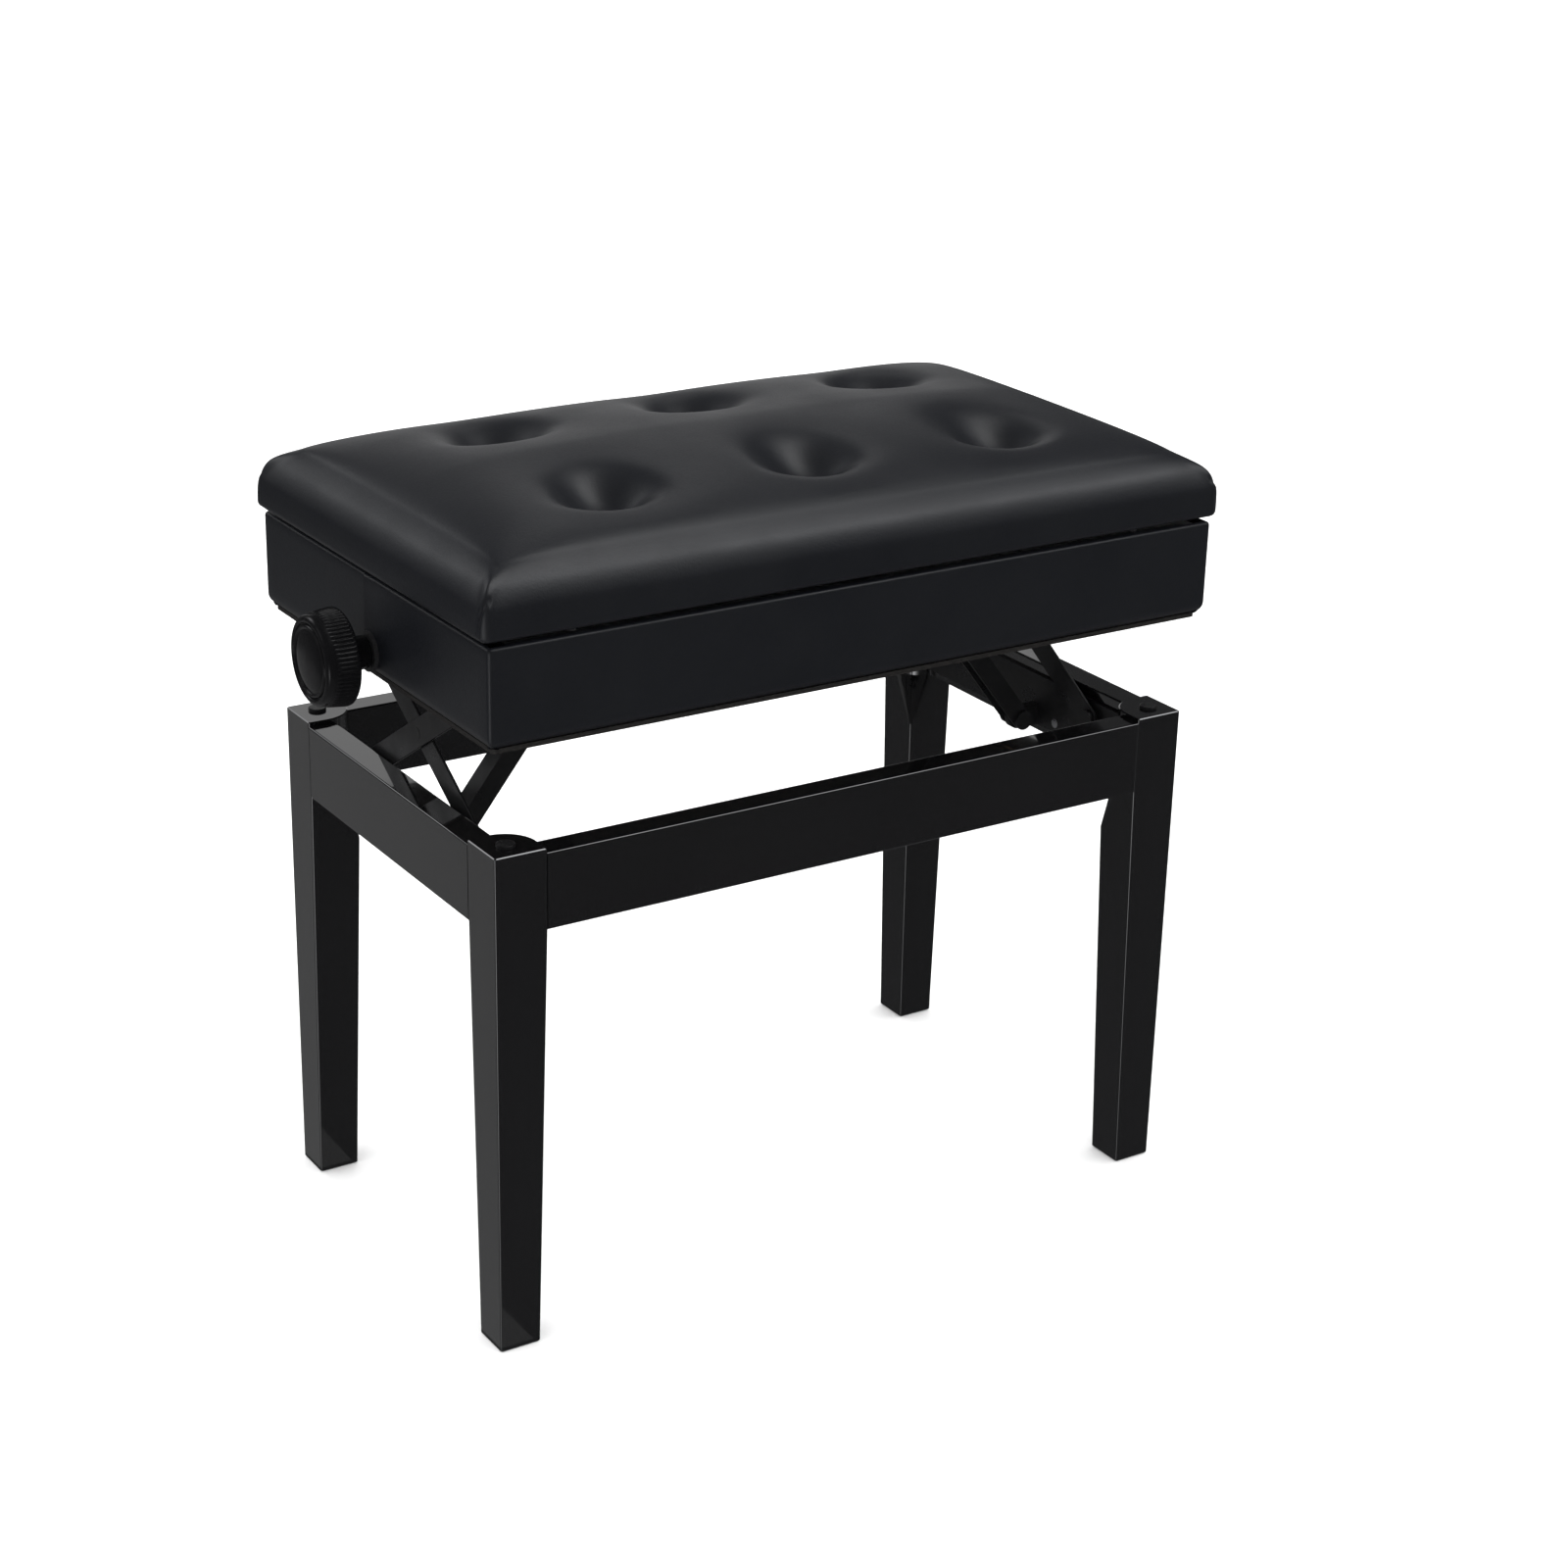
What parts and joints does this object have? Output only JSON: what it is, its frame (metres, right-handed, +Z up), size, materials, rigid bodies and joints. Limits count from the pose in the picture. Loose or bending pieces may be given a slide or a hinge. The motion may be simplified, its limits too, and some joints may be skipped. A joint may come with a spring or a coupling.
{
  "type": "piano bench",
  "caption": "Height-adjustable piano bench: tufted padded lid over a storage box, lifted on a screw and scissor frame by side knobs, on a square-leg stand.",
  "frame": {"origin": "on the floor, under the middle of the bench", "axes": "+X along the seat's length, -Y the front, +Z up"},
  "size_m": [0.628, 0.324, 0.5415],
  "materials": {
    "black_lacquer": "high gloss",
    "bare_wood": "sawn",
    "hardboard": "dark, smooth",
    "black_leatherette": "satin, fine grain",
    "foam": "open foam",
    "lining_cloth": "matt",
    "black_rubber": "matt",
    "knob_plastic": "satin",
    "bush_plastic": "matt",
    "black_steel": "black satin paint",
    "zinc_steel": "zinc plated"
  },
  "bodies": {
    "stand": {"leg_front_left": "black_lacquer", "leg_front_right": "black_lacquer", "leg_rear_left": "black_lacquer", "leg_rear_right": "black_lacquer", "rail_front": "black_lacquer", "rail_rear": "black_lacquer", "rail_left": "black_lacquer", "rail_right": "black_lacquer", "rail_dowels": "bare_wood", "seat_stops": "black_rubber", "base_plate_left": "black_steel", "base_plate_right": "black_steel", "base_plate_screws": "zinc_steel", "base_pivot_pins": "black_steel", "link_lugs": "black_steel", "link_foot_pins": "black_steel"},
    "inner_arm_left": {"scissor_inner_left": "black_steel", "scissor_rivet_left": "black_steel", "slide_pin_high_left": "black_steel"},
    "outer_arm_left": {"scissor_outer_left": "black_steel", "slide_pin_low_left": "black_steel"},
    "inner_arm_right": {"scissor_inner_right": "black_steel", "scissor_rivet_right": "black_steel", "slide_pin_high_right": "black_steel"},
    "outer_arm_right": {"scissor_outer_right": "black_steel", "slide_pin_low_right": "black_steel"},
    "link_left": {"lifting_link_left": "black_steel"},
    "link_right": {"lifting_link_right": "black_steel"},
    "nut_left": {"spindle_nut_left": "zinc_steel", "nut_stud_left": "zinc_steel"},
    "nut_right": {"spindle_nut_right": "zinc_steel", "nut_stud_right": "zinc_steel"},
    "spindle": {"spindle": "zinc_steel", "knob_left": "knob_plastic", "knob_right": "knob_plastic"},
    "seat": {"box_cover": "black_leatherette", "box_front": "bare_wood", "box_rear": "bare_wood", "box_left": "bare_wood", "box_right": "bare_wood", "storage_floor": "hardboard", "bottom_panel": "hardboard", "end_block_left": "bare_wood", "end_block_right": "bare_wood", "floor_cleats": "bare_wood", "top_plate_left": "black_steel", "top_plate_right": "black_steel", "top_plate_screws": "zinc_steel", "top_pivot_pins": "black_steel", "bottom_screws": "zinc_steel", "spindle_bushes": "bush_plastic", "lid_bumpers": "black_rubber", "hinge_leaves_box": "black_steel", "hinge_pins": "zinc_steel"},
    "lid": {"lid_board": "bare_wood", "lid_lining": "lining_cloth", "cushion_foam": "foam", "cushion_cover": "black_leatherette", "hinge_leaves_lid": "black_steel"}
  },
  "joints": [
    {"name": "lift", "type": "hinge", "parent": "stand", "child": "inner_arm_left", "pos_m": [-0.2369, -0.0842, 0.3191], "axis": [1, 0, 0], "range_deg": [-21.47, 0]},
    {"name": "cross_left", "type": "hinge", "parent": "inner_arm_left", "child": "outer_arm_left", "pos_m": [-0.2369, -0.00299, 0.37], "axis": [1, 0, 0], "range_deg": [-0.2, 43.14]},
    {"name": "seat_level", "type": "hinge", "parent": "outer_arm_left", "child": "seat", "pos_m": [-0.2392, -0.0842, 0.4209], "axis": [1, 0, 0], "range_deg": [-21.67, 0.2]},
    {"name": "lift_right", "type": "hinge", "parent": "stand", "child": "inner_arm_right", "pos_m": [0.2369, -0.0842, 0.3191], "axis": [1, 0, 0], "range_deg": [-21.67, 0.2]},
    {"name": "cross_right", "type": "hinge", "parent": "inner_arm_right", "child": "outer_arm_right", "pos_m": [0.2369, -0.00299, 0.37], "axis": [1, 0, 0], "range_deg": [-0.2, 43.14]},
    {"name": "link_foot_left", "type": "hinge", "parent": "stand", "child": "link_left", "pos_m": [-0.225, -0.01825, 0.302], "axis": [0, -1, 0], "range_deg": [-30.79, 0.3]},
    {"name": "link_foot_right", "type": "hinge", "parent": "stand", "child": "link_right", "pos_m": [0.225, -0.01825, 0.302], "axis": [0, 1, 0], "range_deg": [-30.79, 0.3]},
    {"name": "nut_pivot_left", "type": "hinge", "parent": "link_left", "child": "nut_left", "pos_m": [-0.12539, 0, 0.4295], "axis": [0, -1, 0], "range_deg": [-0.3, 30.79]},
    {"name": "nut_pivot_right", "type": "hinge", "parent": "link_right", "child": "nut_right", "pos_m": [0.12539, 0, 0.4295], "axis": [0, 1, 0], "range_deg": [-0.3, 30.79]},
    {"name": "knob_turn", "type": "hinge", "parent": "seat", "child": "spindle", "pos_m": [0, 0, 0.4295], "axis": [1, 0, 0], "range_deg": [-3019, 5]},
    {"name": "lid_hinge", "type": "hinge", "parent": "seat", "child": "lid", "pos_m": [0, 0.159, 0.4798], "axis": [-1, 0, 0], "range_deg": [0, 95]}
  ],
  "couplings": [
    {"joint": "cross_left", "follows": "lift", "ratio": -2},
    {"joint": "seat_level", "follows": "lift", "ratio": 1},
    {"joint": "lift_right", "follows": "lift", "ratio": 1},
    {"joint": "cross_right", "follows": "lift", "ratio": -2},
    {"joint": "link_foot_left", "follows": "lift", "ratio": 1.42},
    {"joint": "link_foot_right", "follows": "lift", "ratio": 1.42},
    {"joint": "nut_pivot_left", "follows": "lift", "ratio": -1.42},
    {"joint": "nut_pivot_right", "follows": "lift", "ratio": -1.42},
    {"joint": "knob_turn", "follows": "lift", "ratio": 140.4}
  ]
}
